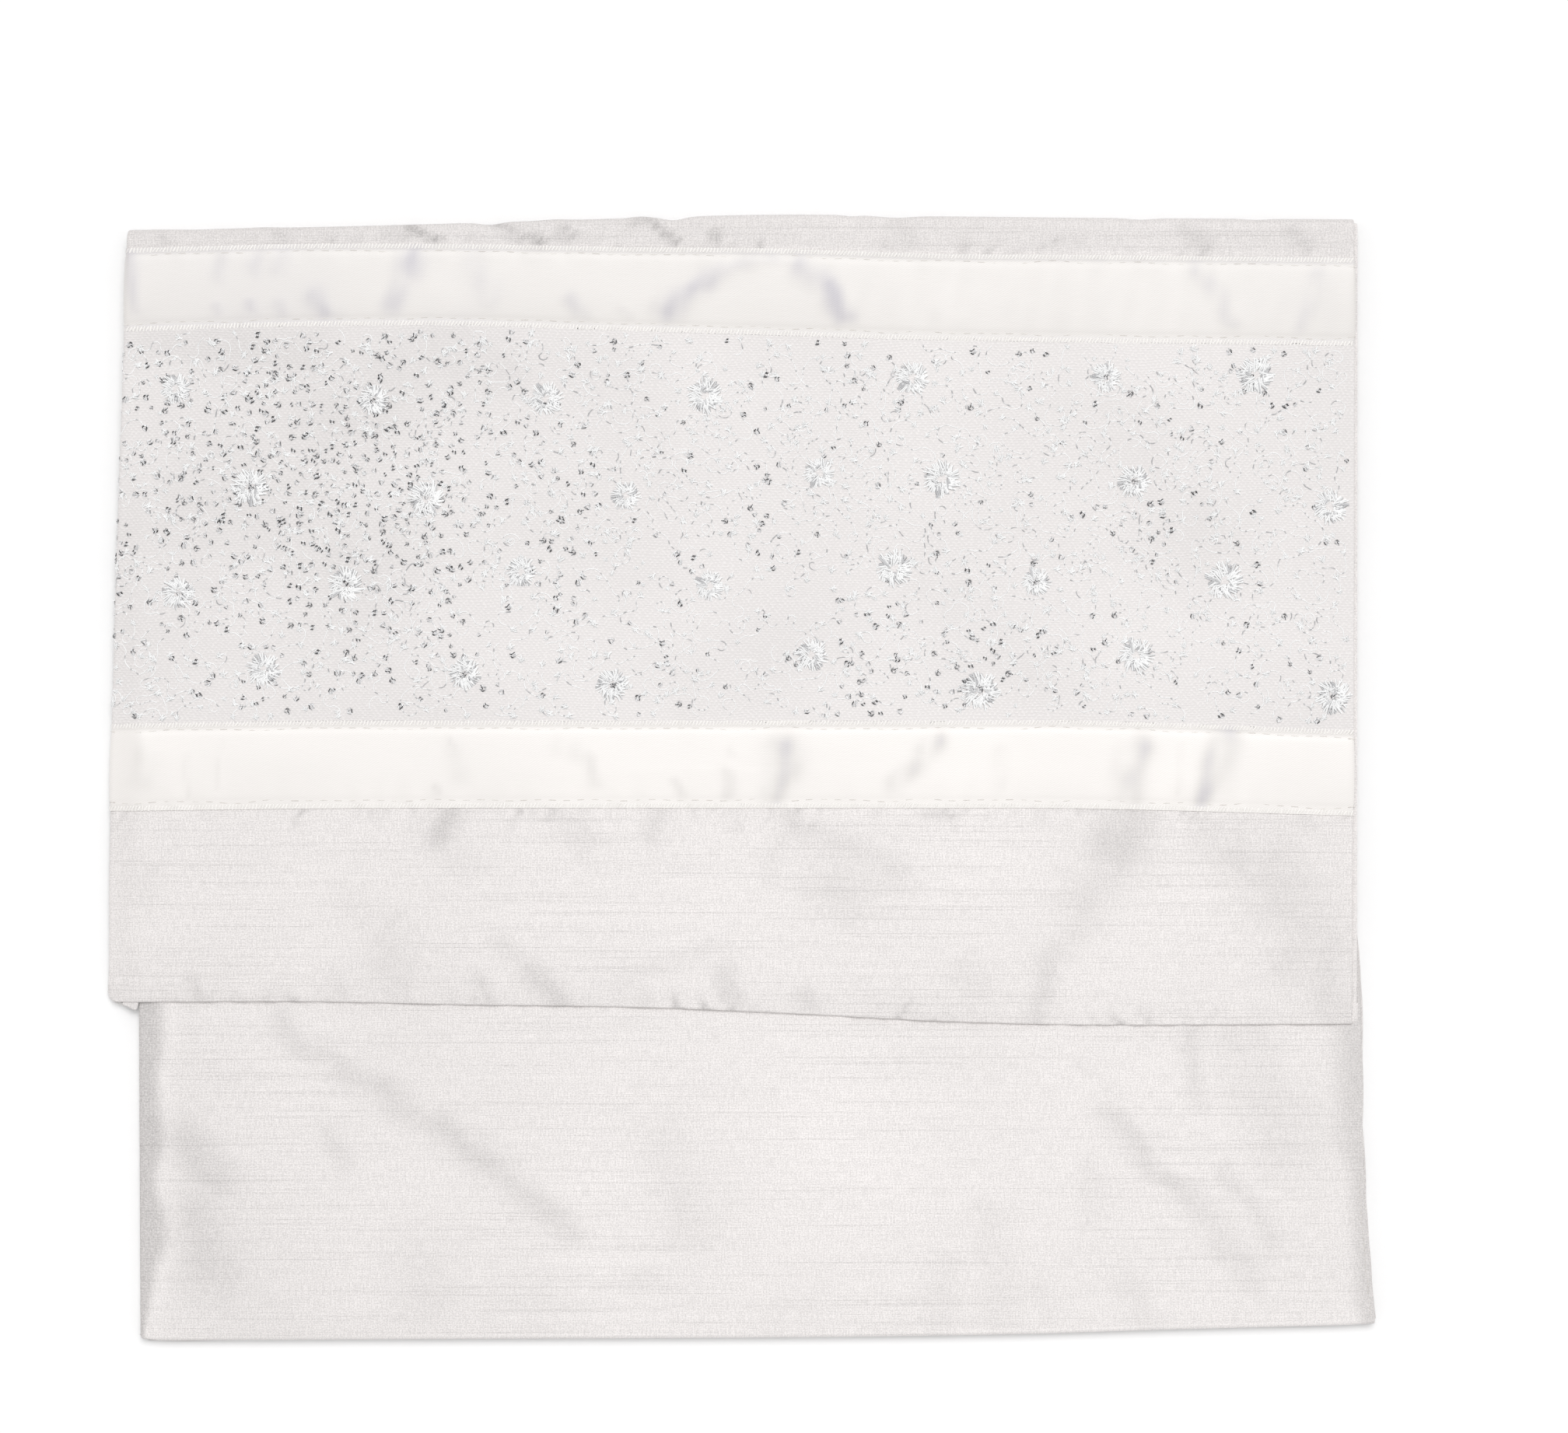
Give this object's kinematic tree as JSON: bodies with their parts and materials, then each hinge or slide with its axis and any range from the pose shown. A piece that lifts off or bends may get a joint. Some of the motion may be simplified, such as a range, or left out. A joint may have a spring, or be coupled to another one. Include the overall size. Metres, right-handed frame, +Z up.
{
  "type": "tallit prayer shawl",
  "caption": "Folded white prayer shawl lying flat, with an embroidered net band between two satin ribbons on its top flap.",
  "frame": {"origin": "under the middle of the folded shawl's outline, on the surface that it rests on", "axes": "+X along the ribbons towards the open hemmed edges, -Y towards the front fold, +Z up"},
  "size_m": [0.409, 0.3626, 0.0097],
  "materials": {
    "dupioni_cloth": "white plain-woven dupioni with horizontal slubs and a soft sheen",
    "satin_ribbon": "creamy white satin ribbon with a fine diagonal twill and woven picot edges",
    "embroidered_net": "white net embroidered with satin-stitch rosettes, wandering thread lines and silver knots"
  },
  "bodies": {
    "root": {"folded_stack": "dupioni_cloth", "lower_panel": "dupioni_cloth", "flap_under_layer": "dupioni_cloth", "flap_panel": "dupioni_cloth", "lower_ribbon": "satin_ribbon", "upper_ribbon": "satin_ribbon", "embroidered_panel": "embroidered_net"}
  },
  "joints": []
}
